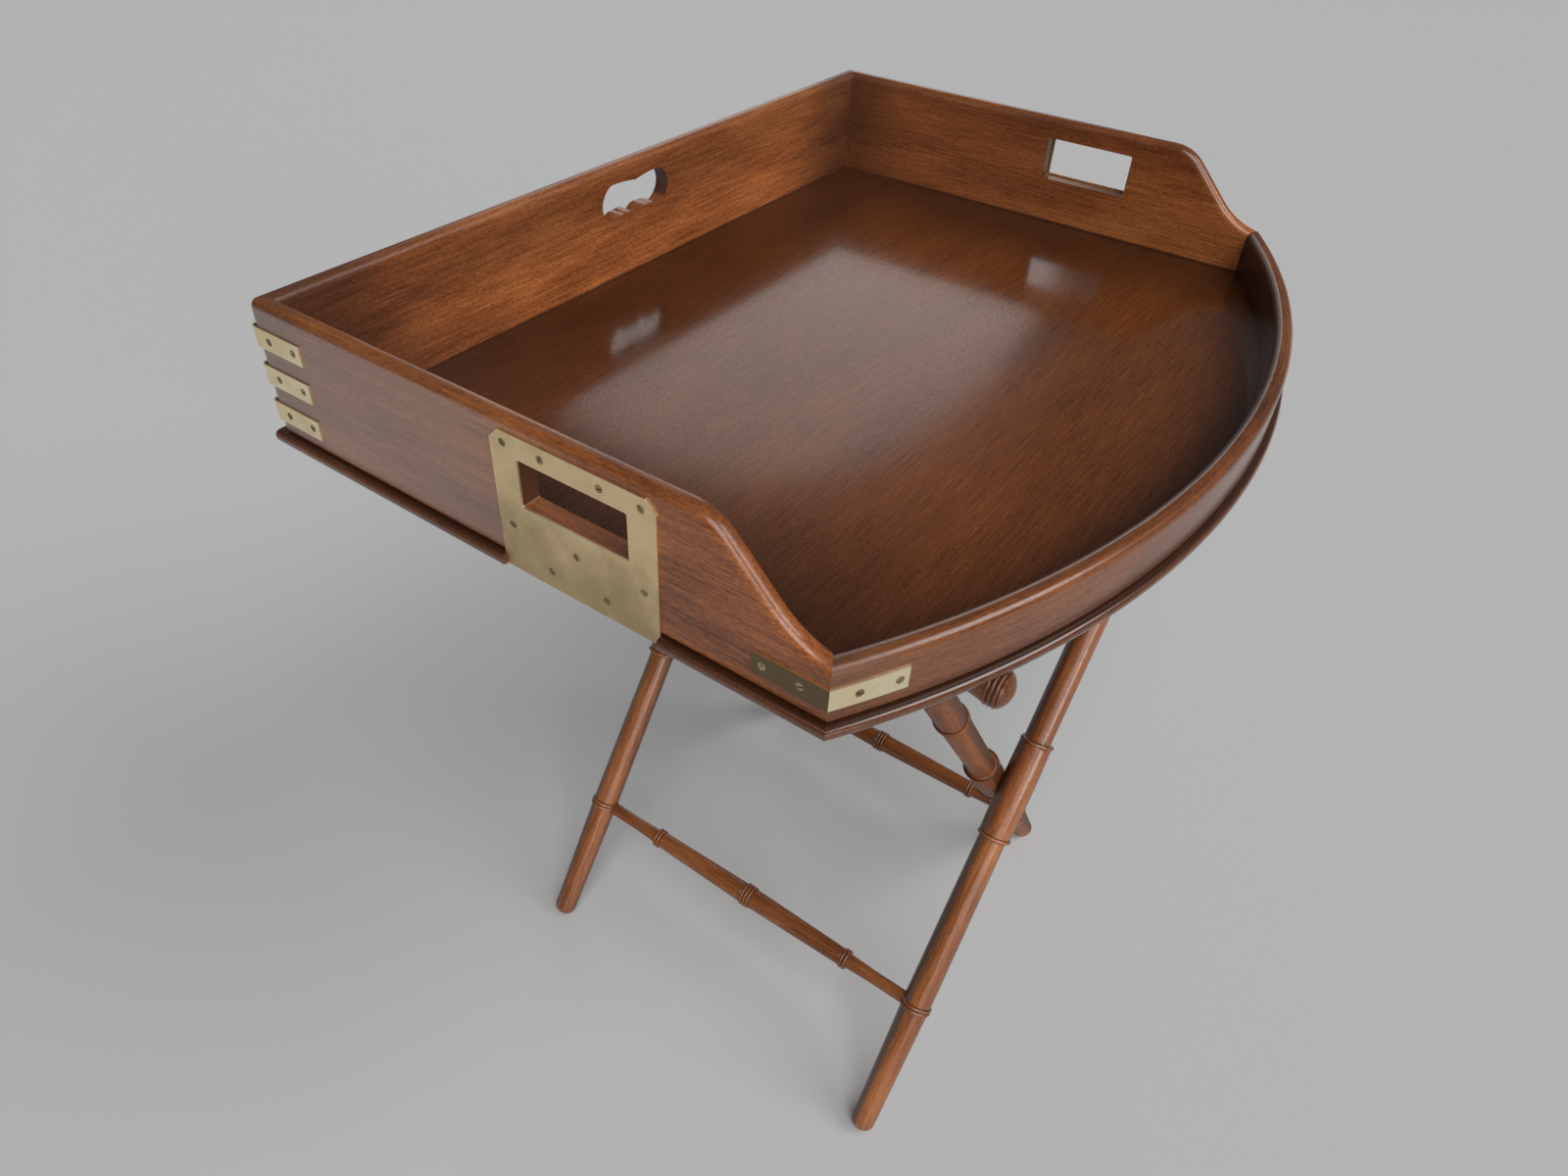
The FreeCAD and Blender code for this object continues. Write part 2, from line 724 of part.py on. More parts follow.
def leg_profile():
    lower_ring = ring(-pivot_to_stretcher, shin_radius, calf_radius, 2)
    lower_collar = ring(-pivot_to_collar, waist_radius, pivot_end_radius, 1)
    upper_collar = ring(pivot_to_collar, pivot_end_radius, arm_radius, 1)
    upper_ring = ring(pivot_to_rail - ring_below_rail, arm_radius, arm_radius, 2)
    swell_end = upper_collar[0] + (swell_radius,)
    return [
        (0, foot_end), (foot_radius - foot_round, foot_end),
        (foot_radius, foot_end + foot_round, foot_round),
        *lower_ring, *lower_collar, swell_end, *upper_collar[1:], *upper_ring,
        (head_radius, pivot_to_rail), (0, pivot_to_rail + head_radius, head_radius),
    ]


def bore(body, height, radius, start, end):
    """A round hole along the body's Y at this height on its axis, from y = start to y = end."""
    sketch = new_sketch(body, "XZ_Plane", -start)
    add_circle(sketch, 0, height, radius)
    forwards = float(end) > float(start)
    pocket(body, sketch, end - start if forwards else start - end, reverse=not forwards)


def make_leg(label, frame, side):
    """frame is 1 for the outer frame and -1 for the inner one, side -1 for the front leg."""
    body = turned(label, leg_profile())
    lean = lean_angle * frame
    inwards = -side
    bearing = inwards * frame
    floor = new_sketch(body, "XZ_Plane", 0)
    reach = 2 * foot_radius
    slope = reach * sine(lean) / cosine(lean)
    level = -pivot_z / cosine(lean_angle)
    below = level - 4 * reach
    add_outline(floor, [
        (-reach, level - slope), (-reach, below), (reach, below), (reach, level + slope)])
    pocket(body, floor, 2 * reach, both_ways=True)
    flat = new_sketch(body, "XZ_Plane", -bearing * leg_flat)
    add_outline(flat, [
        (-reach, foot_end), (reach, foot_end), (reach, pivot_to_rail), (-reach, pivot_to_rail)])
    pocket(body, flat, reach, reverse=bearing < 0)
    bore(body, 0, pin_radius + running_gap, bearing * leg_flat,
         bearing * (leg_flat - pin_depth - running_gap))
    bore(body, -pivot_to_stretcher, tenon_radius + running_gap, inwards * reach,
         -inwards * (stretcher_bore_past + running_gap))
    bore(body, pivot_to_rail, tenon_radius + running_gap, -reach, reach)
    half_depth = stand_half_depth if frame > 0 else inner_half_depth
    body.Placement = Placement(Vector(0, 0, 0), Rotation(Vector(0, frame, 0), float(lean_angle)))
    bind(body, "Placement.Rotation.Angle", lean_angle)
    bind(body, "Placement.Base.x", stand_shift)
    bind(body, "Placement.Base.y", stand_setback + side * half_depth)
    bind(body, "Placement.Base.z", pivot_z)
    finish(label, body)


def lay(body, x, z):
    """Turns a round piece to lie along Y, at the stand's middle."""
    body.Placement = Placement(Vector(0, 0, 0), Rotation(Vector(1, 0, 0), 90))
    bind(body, "Placement.Base.x", stand_shift + x)
    bind(body, "Placement.Base.y", stand_setback)
    bind(body, "Placement.Base.z", z)


def mirrored_profile(upper):
    """A profile and its mirror image below y = 0, as one closed outline about the axis."""
    lower = []
    for index in range(len(upper) - 1, -1, -1):
        x, y = upper[index][:2]
        following = upper[index + 1] if index + 1 < len(upper) else ()
        lower.append((x, -y) + tuple(following[2:]))
    return lower + list(upper)


def rod_profile(half_length, waist):
    """Half a stretcher or rail: a triple ring in the middle, a double ring, a thin end."""
    middle = ring(0, rod_radius, rod_radius, 3)[-2:]
    centre_bead = (rod_radius - groove_depth, bead_width / 2)
    shoulder = ring(rod_ring_place, waist, rod_end_radius, 2)
    end = [(tenon_radius, rod_ring_place + rod_taper), (tenon_radius, half_length), (0, half_length)]
    return [centre_bead, *middle, *shoulder, *end]


def make_rod(label, half_length, waist, x, z):
    upper = rod_profile(half_length, waist)
    corners = mirrored_profile(upper)
    first_upper = len(corners) - len(upper)
    corners[first_upper] = upper[0][:2] + (bead_radius,)
    body = turned(label, corners)
    lay(body, x, z)
    return body


def make_knob(label, side, x):
    """A turned end for a rail: a swelling neck, a triple ring and a dome, bored for the tenon."""
    ring_middle = rail_half_length - knob_dome - groove_width - knob_bead_width * 3 / 2
    beads = ring(ring_middle, knob_radius, knob_radius, 3, knob_bead_width, knob_bead_rise)
    dome_radius = arch_radius(2 * knob_radius, knob_dome)
    body = turned(label, [
        (0, knob_start), (knob_neck_radius, knob_start), *beads, (0, rail_half_length, dome_radius)])
    socket = new_sketch(body, "XY_Plane", knob_start)
    add_circle(socket, 0, 0, tenon_radius + running_gap)
    pocket(body, socket, knob_socket + running_gap, reverse=True)
    body.Placement = Placement(Vector(0, 0, 0), Rotation(Vector(-side, 0, 0), 90))
    bind(body, "Placement.Base.x", stand_shift + x)
    bind(body, "Placement.Base.y", stand_setback)
    bind(body, "Placement.Base.z", rail_z)
    finish(label, body)


def make_pin(label, side):
    """A plain steel pin, half in each leg."""
    reach = pin_depth + rest_gap / 2
    body = turned(label, [(0, -reach), (pin_radius, -reach), (pin_radius, reach), (0, reach)])
    body.Placement = Placement(Vector(0, 0, 0), Rotation(Vector(1, 0, 0), 90))
    bind(body, "Placement.Base.x", stand_shift)
    bind(body, "Placement.Base.y", stand_setback + side * (stand_half_depth - leg_offset / 2))
    bind(body, "Placement.Base.z", pivot_z)
    finish(label, body)


webbing_inner = rod_radius + running_gap
webbing_outer = webbing_inner + webbing_thickness


def make_webbing(label, side, tack_places):
    """A strap that runs over both rails and down their outer sides."""
    body = new_body(label + "_blank")
    middle = stand_setback + side * webbing_place
    section = new_sketch(body, "XZ_Plane", -middle - webbing_width / 2)
    tail = rail_z - webbing_tail
    right = stand_shift + rail_x
    left = stand_shift - rail_x
    add_outline(section, [
        (right + webbing_inner, tail), (right + webbing_outer, tail), (right + webbing_outer, rail_z),
        (right, rail_z + webbing_outer, webbing_outer), (left, rail_z + webbing_outer),
        (left - webbing_outer, rail_z, webbing_outer), (left - webbing_outer, tail),
        (left - webbing_inner, tail), (left - webbing_inner, rail_z),
        (left, rail_z + webbing_inner, -webbing_inner), (right, rail_z + webbing_inner),
        (right + webbing_inner, rail_z, -webbing_inner),
    ])
    pad(body, section, webbing_width)
    finish(label, drilled(
        label, body, tack_shank_radius + running_gap, webbing_thickness * 3, lifted(tack_places)))


def lifted(places):
    return [place * Placement(Vector(0, 0, float(webbing_thickness)), Rotation()) for place in places]


def make_tack():
    """A round-headed tack; its head's underside is at Z = 0."""
    body = new_body("tack")
    profile = new_sketch(body, "XZ_Plane", 0)
    dome_radius = arch_radius(2 * tack_head_radius, tack_head_rise)
    add_outline(profile, [
        (0, -tack_shank_length), (tack_shank_radius, -tack_shank_length), (tack_shank_radius, 0),
        (tack_head_radius, 0), (0, tack_head_rise, dome_radius),
    ])
    turn(body, profile)
    return body


# Where the fasteners go: each place has its Z axis pointing out of the face it is driven into
def on_side(side, y, z, lift, spin):
    """A place on the outside of a side board, lifted to the brass's outer face."""
    facing = Rotation(Vector(0, 0, 1), Vector(side, 0, 0))
    place = Vector(side * float(half_width + lift), float(y), float(floor_z + z))
    return Placement(place, facing * Rotation(Vector(0, 0, 1), spin))


def on_back(x, z, lift, spin):
    facing = Rotation(Vector(0, 0, 1), Vector(0, 1, 0))
    place = Vector(float(x), float(back_y + lift), float(floor_z + z))
    return Placement(place, facing * Rotation(Vector(0, 0, 1), spin))


def on_bow(side, distance, z, lift, spin):
    """A place on the bow, this far round it from the front corner."""
    angle = math.asin(float(half_width / bow_radius)) - float(distance / bow_radius)
    outwards = Vector(side * math.sin(angle), -math.cos(angle), 0)
    place = Vector(0, float(bow_centre_y), float(floor_z + z)) + outwards * float(bow_radius + lift)
    facing = Rotation(Vector(0, 0, 1), outwards)
    return Placement(place, facing * Rotation(Vector(0, 0, 1), spin))


def slot_turn(number):
    """How far a screw's slot is turned, in degrees: no two neighbours stand alike."""
    first = 37
    step = 67
    return (first + step * number) % 180


def plate_places(side):
    edge = plate_width / 2 - plate_screw_edge
    top = plate_top - plate_screw_top
    spots = [
        (-edge, top), (-plate_screw_inner, top), (plate_screw_inner, top), (edge, top),
        (-edge, plate_screw_low), (0, plate_screw_low), (edge, plate_screw_low),
        (-plate_screw_inner, plate_screw_foot), (plate_screw_inner, plate_screw_foot),
    ]
    return [on_side(side, y + hand_hole_y, z, plate_thickness, slot_turn(n))
            for n, (y, z) in enumerate(spots)]


def back_strap_places(side, lowest):
    """Two screws on the side and two on the back, in the middle of the strap's width."""
    height = lowest + strap_width / 2
    distances = (back_screw_near, back_screw_far)
    on_sides = [on_side(side, back_y - far, height, strap_thickness, slot_turn(n))
                for n, far in enumerate(distances)]
    on_backs = [on_back(side * (half_width - far), height, strap_thickness, slot_turn(n + 2))
                for n, far in enumerate(distances)]
    return on_sides, on_backs


def front_strap_places(side):
    height = front_strap_lowest + strap_width / 2
    distances = (front_screw_near, front_screw_far)
    on_sides = [on_side(side, corner_y + far, height, strap_thickness, slot_turn(n + 1))
                for n, far in enumerate(distances)]
    lift = strap_thickness + running_gap
    on_bows = [on_bow(side, far, height, lift, slot_turn(n + 4)) for n, far in enumerate(distances)]
    return on_sides, on_bows


def tack_places(frame, side):
    """Three tacks on a rail's outer side, through one end of a webbing strap."""
    facing = Rotation(Vector(0, 0, 1), Vector(frame, 0, 0))
    x = float(stand_shift) + frame * float(rail_x + webbing_outer + running_gap)
    middle = float(stand_setback + side * webbing_place)
    return [Placement(Vector(x, middle + step * float(tack_pitch), float(rail_z)), facing)
            for step in (-1, 0, 1)]


# Build the tray
strap_heights = {
    "low": back_strap_lowest,
    "middle": back_strap_lowest + back_strap_pitch,
    "high": back_strap_lowest + back_strap_pitch * 2,
}
sides = {"left": -1, "right": 1}
plate_screw = make_screw(plate_thickness)
strap_screw = make_screw(strap_thickness)
back_board_screws = []
bow_screws = []
make_tray_base()
for name, side in sides.items():
    plate = plate_places(side)
    corner_screws = []
    board_screws = list(plate)
    for height_name, lowest in strap_heights.items():
        on_sides, on_backs = back_strap_places(side, lowest)
        make_back_strap(f"back_strap_{name}_{height_name}", side, lowest, on_sides + on_backs)
        corner_screws += on_sides + on_backs
        board_screws += on_sides
        back_board_screws += on_backs
    on_sides, on_bows = front_strap_places(side)
    make_front_strap(f"front_strap_{name}", side, on_sides + on_bows)
    board_screws += on_sides
    bow_screws += on_bows
    make_side(f"{name}_side", side, board_screws)
    make_plate(f"handle_plate_{name}", side, plate)
    group(f"plate_screws_{name}", plate_screw, plate)
    group(f"back_strap_screws_{name}", strap_screw, corner_screws)
    group(f"front_strap_screws_{name}", strap_screw, on_sides + on_bows)
make_back_board(back_board_screws)
make_bow_rail(bow_screws)

# Build the stand
tenon_end = knob_start + knob_socket
frames = {"outer": (1, stand_half_depth), "inner": (-1, inner_half_depth)}
ends = {"front": -1, "back": 1}
tack = make_tack()
for frame_name, (frame, half_depth) in frames.items():
    label = f"{frame_name}_stretcher"
    finish(label, make_rod(
        label, half_depth + stretcher_bore_past, rod_waist_radius, -frame * stretcher_x,
        stretcher_height))
    rail_tacks = []
    for end_name, side in ends.items():
        make_leg(f"{frame_name}_leg_{end_name}", frame, side)
        make_knob(f"{frame_name}_knob_{end_name}", side, frame * rail_x)
        rail_tacks += tack_places(frame, side)
    label = f"{frame_name}_rail"
    rail = make_rod(label + "_blank", tenon_end, rod_radius, frame * rail_x, rail_z)
    finish(label, drilled(label, rail, tack_shank_radius + running_gap, tack_shank_length, rail_tacks))
    group(f"{frame_name}_tacks", tack, rail_tacks)
for end_name, side in ends.items():
    make_pin(f"pivot_pin_{end_name}", side)
    make_webbing(f"webbing_{end_name}", side, tack_places(1, side) + tack_places(-1, side))

doc.recompute()
for item in doc.Objects:
    if "Invalid" in item.State or "Error" in item.State:
        raise ValueError(f"{item.Label} failed: {item.State}")
for label, item in pieces:
    if item.Shape.isNull() or not item.Shape.isValid():
        raise ValueError(f"{label} has no valid shape")
os.makedirs("parts", exist_ok=True)
for label, item in pieces:
    item.Shape.exportStep(f"parts/{label}.step")
print(len(pieces), "pieces")
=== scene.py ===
import json
import math

import bmesh
import bpy
from mathutils import Matrix, Vector


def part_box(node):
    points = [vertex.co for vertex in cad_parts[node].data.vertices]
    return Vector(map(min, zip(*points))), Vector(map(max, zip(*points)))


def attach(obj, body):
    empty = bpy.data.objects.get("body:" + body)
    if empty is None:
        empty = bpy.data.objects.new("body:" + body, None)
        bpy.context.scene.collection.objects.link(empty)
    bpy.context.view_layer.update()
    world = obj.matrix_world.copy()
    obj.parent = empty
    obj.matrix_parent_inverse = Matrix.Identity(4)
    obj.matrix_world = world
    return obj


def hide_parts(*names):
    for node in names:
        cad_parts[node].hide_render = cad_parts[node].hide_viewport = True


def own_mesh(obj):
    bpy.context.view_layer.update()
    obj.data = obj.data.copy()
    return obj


# A butler's tray table: a bow-fronted mahogany tray with brass straps and handle plates on a folding
# stand of turned legs. Metres, +Z up, floor at Z = 0, the bow front towards -Y.

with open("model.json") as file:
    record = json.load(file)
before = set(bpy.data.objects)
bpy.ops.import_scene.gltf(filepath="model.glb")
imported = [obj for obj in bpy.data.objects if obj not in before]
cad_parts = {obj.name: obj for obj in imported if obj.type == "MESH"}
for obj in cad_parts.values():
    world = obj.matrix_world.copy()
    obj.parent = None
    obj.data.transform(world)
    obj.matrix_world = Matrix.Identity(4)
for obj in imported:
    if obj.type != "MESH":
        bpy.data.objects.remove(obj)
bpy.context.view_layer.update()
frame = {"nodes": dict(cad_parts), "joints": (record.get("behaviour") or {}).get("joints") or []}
nodes = frame["nodes"]
joints = {joint["name"]: joint for joint in frame["joints"]}

# Places read from the frame
base_low, base_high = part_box("tray_base")
tray_floor = base_high.z
wall_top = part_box("back_board")[1].z
side_low, side_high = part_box("right_side")
bow_low, bow_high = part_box("bow_rail")
bow_front = bow_low.y
half_width = side_high.x
inner_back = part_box("back_board")[0].y
board_thickness = side_high.x - side_low.x
bow_rise = side_low.y - bow_front
bow_radius = (half_width ** 2 + bow_rise ** 2) / (2 * bow_rise)
bow_centre = bow_front + bow_radius
plate_low, plate_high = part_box("handle_plate_left")
hand_hole_y = (plate_low.y + plate_high.y) / 2
knob_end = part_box("outer_knob_back")[1].y
pivot = Vector(joints["inner_fold"]["pos_m"])
outer_rail = Vector(joints["rail_level"]["pos_m"])
stretcher = Vector(joints["stand_fold"]["pos_m"])
lean = math.atan2(outer_rail.x - pivot.x, outer_rail.z - pivot.z)
pivot_to_rail = (outer_rail - pivot).length
pivot_to_stretcher = (stretcher - pivot).length
inner_rail_x = 2 * pivot.x - outer_rail.x

# Edges of the boards, as the tray's source has them
edge_round = 0.0062
quirk = 0.0022
floor_rebate = 0.0015
bead_top = tray_floor - floor_rebate
bead_round = 0.004
base_corner_round = 0.0055
board_gap = 0.00005

# Hand holes, as the tray's source has them: half the length, then the heights of sill and head
hand_hole = (0.044, tray_floor + 0.0425, tray_floor + 0.0825)
back_hole = (0.045, tray_floor + 0.0515, tray_floor + 0.0855)

# Turned rings, as the stand's source has them
bead_width = 0.0042
knob_bead_width = 0.0031
knob_ring_from_end = 0.01095
knob_ring_place = knob_end - pivot.y - knob_ring_from_end
collar_place = 0.053
ring_below_rail = 0.219
upper_ring_place = pivot_to_rail - ring_below_rail
rod_ring_place = 0.130

# Webbing, as the stand's source has it
rail_radius = 0.0114
webbing_gap = 0.00005
webbing_thickness = 0.0016
webbing_tail = 0.009
strap_radius = rail_radius + webbing_gap + webbing_thickness / 2

# How the pieces made here are modelled
near = 1e-4
smooth_angle = math.radians(32)


class Wire:
    """A value in a finish's nodes, which takes part in sums as a number does."""

    def __init__(self, finish, socket):
        self.finish = finish
        self.socket = socket

    def __add__(self, other):
        return self.finish.math("ADD", self, other)

    def __radd__(self, other):
        return self.finish.math("ADD", other, self)

    def __sub__(self, other):
        return self.finish.math("SUBTRACT", self, other)

    def __rsub__(self, other):
        return self.finish.math("SUBTRACT", other, self)

    def __mul__(self, other):
        return self.finish.math("MULTIPLY", self, other)

    def __truediv__(self, other):
        return self.finish.math("DIVIDE", self, other)

    def __abs__(self):
        return self.finish.math("ABSOLUTE", self)


class Finish:
    """A material, built up node by node around one shader."""

    def __init__(self, name):
        self.material = bpy.data.materials.new(name)
        self.material.use_nodes = True
        self.tree = self.material.node_tree
        self.shader = self.tree.nodes["Principled BSDF"]

    def feed(self, socket, value):
        if isinstance(value, Wire):
            self.tree.links.new(value.socket, socket)
        else:
            socket.default_value = value

    def node(self, kind, settings, values, output=0):
        """Adds any node: its settings first, then the values or links of its sockets."""
        made = self.tree.nodes.new(kind)
        for name, setting in settings.items():
            if name == "stops":
                self.set_stops(made.color_ramp, setting)
            else:
                setattr(made, name, setting)
        for name, value in values.items():
            self.feed(made.inputs[name], value)
        return Wire(self, made.outputs[output])

    def set_stops(self, ramp, stops):
        while len(ramp.elements) < len(stops):
            ramp.elements.new(0.5)
        for element, (place, colour) in zip(ramp.elements, stops):
            element.position = place
            element.color = (*colour, 1)

    def math(self, operation, *values):
        return self.node("ShaderNodeMath", {"operation": operation}, dict(enumerate(values)))

    def rise(self, value, start, end):
        """0 before start, 1 after end, smooth between; start may be the larger one."""
        return self.node("ShaderNodeMapRange", {"interpolation_type": "SMOOTHSTEP"},
                         {"Value": value, "From Min": start, "From Max": end})

    def mix(self, factor, first, second):
        return self.node("ShaderNodeMix", {"data_type": "RGBA"}, {0: factor, 6: first, 7: second}, output=2)

    def ramp(self, factor, stops):
        return self.node("ShaderNodeValToRGB", {"stops": stops}, {"Fac": factor})

    def vector(self, x, y, z):
        return self.node("ShaderNodeCombineXYZ", {}, {"X": x, "Y": y, "Z": z})

    def noise(self, place, scale, detail=2.0, roughness=0.5):
        return self.node("ShaderNodeTexNoise", {},
                         {"Vector": place, "Scale": scale, "Detail": detail, "Roughness": roughness})

    def split(self, vector):
        made = self.tree.nodes.new("ShaderNodeSeparateXYZ")
        self.feed(made.inputs[0], vector)
        return [Wire(self, output) for output in made.outputs]

    def place(self):
        """The point on the piece, in the row frame, as x, y and z."""
        made = self.tree.nodes.new("ShaderNodeTexCoord")
        return self.split(Wire(self, made.outputs["Object"]))

    def facing(self):
        """The way the surface faces, as x, y and z."""
        made = self.tree.nodes.new("ShaderNodeNewGeometry")
        return self.split(Wire(self, made.outputs["Normal"]))

    def bump(self, height, strength, distance):
        return self.node("ShaderNodeBump", {}, {"Strength": strength, "Distance": distance, "Height": height})

    def shade(self, **values):
        for name, value in values.items():
            self.feed(self.shader.inputs[name.replace("_", " ")], value)


def colour(red, green, blue):
    return (red, green, blue, 1.0)


# Grain: each way a board or turning runs gives (along, across, through) in metres
def grain_along_x(finish):
    return finish.place()


def grain_along_y(finish):
    x, y, z = finish.place()
    return y, z, x


def grain_along_bow(finish):
    """Round the bow's own centre."""
    x, y, z = finish.place()
    forward = bow_centre - y
    turn = finish.math("ARCTAN2", x, forward)
    reach = finish.math("SQRT", x * x + forward * forward)
    return turn * bow_radius, z, reach


def grain_along_leg(direction):
    """Up a leg that leans to +X for direction 1 and to -X for -1, measured from the pivot."""
    def grain(finish):
        x, y, z = finish.place()
        out = x - pivot.x
        up = z - pivot.z
        along = up * math.cos(lean) + out * (direction * math.sin(lean))
        across = out * math.cos(lean) - up * (direction * math.sin(lean))
        return along, across, y
    return grain


# Where the polish is toned dark and where shade is painted: each gives 0 for the bare colour up to 1 for the
# darkest tone
def most(finish, *values):
    """The largest of several tones."""
    largest = values[0]
    for value in values[1:]:
        largest = finish.math("MAXIMUM", largest, value)
    return largest


def tone_reveal(finish, along, thickness, hole):
    """Dark stain on the end grain and painted shade inside a hand hole, thinner on its up-facing sill as
    painted light.
    """
    z = finish.place()[2]
    half_length, low, high = hole
    margin = 0.0015
    soft = 0.0005
    inside = (finish.rise(along, half_length + margin, half_length + soft)
              * finish.rise(z, high + margin, high + soft) * finish.rise(z, low - margin, low - soft))
    sill = finish.rise(finish.facing()[2], 0.5, 0.8)
    return inside * finish.rise(abs(thickness), 0.7, 0.3) * (1.0 - sill * 0.55)


def tone_floor(finish):
    """Toned dark along the walls and the bow, which also paints the shade they cast, darker on the bead, and
    darkest in the line where the walls stand, painted shade in that crease.
    """
    x, y, z = finish.place()
    forward = bow_centre - y
    reach = finish.math("SQRT", x * x + forward * forward)
    sides = finish.rise(abs(x), half_width - 0.24, half_width - 0.01)
    back = finish.rise(y, inner_back - 0.22, inner_back)
    front = finish.rise(reach, bow_radius - 0.12, bow_radius - 0.015)
    top = finish.rise(z, bead_top, tray_floor)
    # Painted shade in the quirk line at the foot of the walls
    quirk_shade = finish.rise(z, bead_top - 0.0012, bead_top - 0.0003) * finish.rise(z, tray_floor, bead_top)
    bead = finish.rise(z, tray_floor, bead_top) * 0.4
    return most(finish, most(finish, sides * 0.85, back * 0.85, front * 0.65) * top, bead, quirk_shade)


def crease_shade(finish):
    """Painted shade in the crease where a wall meets the bead or the floor."""
    return finish.rise(finish.place()[2], tray_floor + 0.003, tray_floor) * 0.9


def tone_back(finish):
    """Painted shade at both ends, where the sides meet the back, and darker towards the top, so it is
    lightest low in the middle.
    """
    x, y, z = finish.place()
    ends = finish.rise(abs(x), half_width - 0.22, half_width - 0.015)
    top = finish.rise(z, tray_floor + 0.01, tray_floor + 0.08)
    hole = tone_reveal(finish, abs(x), finish.facing()[1], back_hole)
    return most(finish, ends * 0.85, top * 0.5, hole, crease_shade(finish))


def behind_hand_hole(finish):
    """Rises along a side, from in front of its hand hole to behind it."""
    return finish.rise(finish.place()[1], hand_hole_y - 0.1, hand_hole_y + 0.12)


def tone_side(depth):
    """Painted shade in the back corner, darker towards the top, and toned to this depth behind the hand hole.
    """
    def tone(finish):
        x, y, z = finish.place()
        corner = finish.rise(y, inner_back - 0.13, inner_back)
        top = finish.rise(z, tray_floor + 0.03, wall_top)
        hole = tone_reveal(finish, abs(y - hand_hole_y), finish.facing()[0], hand_hole)
        back = behind_hand_hole(finish) * depth
        return most(finish, corner * 0.7, back, top * 0.4, hole, crease_shade(finish))
    return tone


def tone_bow(finish):
    """Painted shade at both ends, on the inner face and low down in the quirk above the bead."""
    x, y, z = finish.place()
    ends = finish.rise(abs(x), half_width - 0.1, half_width)
    foot = finish.rise(z, tray_floor + 0.016, tray_floor)
    inner = finish.rise(finish.facing()[1], 0.2, 0.5)
    return most(finish, ends * 0.5, foot * 0.5, inner * 0.85, crease_shade(finish))


def groove_lines(finish, along, rings):
    """1 in the grooves beside and between the beads of the turned rings, 0 elsewhere."""
    lines = 0.0
    for middle, beads, width in rings:
        step = (along - middle) / width + beads / 2
        line = finish.rise(finish.math("PINGPONG", step, 0.5), 0.15, 0.03)
        inside = finish.rise(abs(step - beads / 2), beads / 2 + 0.25, beads / 2 + 0.1)
        lines = finish.math("MAXIMUM", lines, line * inside)
    return lines


def painted_flank_shade(finish):
    """Painted shade down the two flanks of a leg: darker where the surface faces along a bearing of -55
    degrees or against it.
    """
    x, y, z = finish.facing()
    bearing = math.radians(-55)
    flank = abs(x * math.cos(bearing) + y * math.sin(bearing))
    return finish.rise(flank, 0.45, 0.97) * 0.85


def tone_leg(direction):
    """Dark in the grooves of the rings and towards the foot, with painted shade down the flanks."""
    rings = [(-pivot_to_stretcher, 2, bead_width), (-collar_place, 1, bead_width),
             (collar_place, 1, bead_width), (upper_ring_place, 2, bead_width)]

    def tone(finish):
        along = grain_along_leg(direction)(finish)[0]
        foot = finish.rise(along, -pivot_to_stretcher - 0.10, -pivot_to_stretcher - 0.17)
        return most(finish, groove_lines(finish, along, rings), foot * 0.5, painted_flank_shade(finish))
    return tone


def tone_rod(finish):
    """Dark in the grooves of the rings and at the thin ends, with the tray's shadow painted on the knobs."""
    along = abs(finish.place()[1] - pivot.y)
    rings = [(0.0, 3, bead_width), (rod_ring_place, 2, bead_width), (knob_ring_place, 3, knob_bead_width)]
    ends = finish.rise(along, rod_ring_place + 0.01, rod_ring_place + 0.08)
    # Painted shadow of the tray on the knobs
    knob_shadow = finish.rise(along, knob_ring_place - 0.012, knob_ring_place) * 0.55
    return most(finish, groove_lines(finish, along, rings), ends * 0.35, knob_shadow)


def bead_polish(finish):
    """A thin coat of polish on the bead alone, and none underneath."""
    bead = finish.rise(finish.place()[2], tray_floor, bead_top)
    return bead * finish.rise(finish.facing()[2], -0.9, -0.5) * 0.35


def side_polish(finish):
    """Full polish on the faces at the back of a side, rubbed away by hands towards the front."""
    face = finish.rise(abs(finish.facing()[0]), 0.7, 0.95)
    return behind_hand_hole(finish) * face


# Polished mahogany
# The dark colour is both the pores' stain and painted shade; the light edge colour is both rubbing and
# painted light.
dark_stain_and_shade = colour(0.016, 0.006, 0.0035)
lit_worn_edge = colour(0.30, 0.105, 0.035)
stop_places = (0.36, 0.46, 0.54, 0.64)


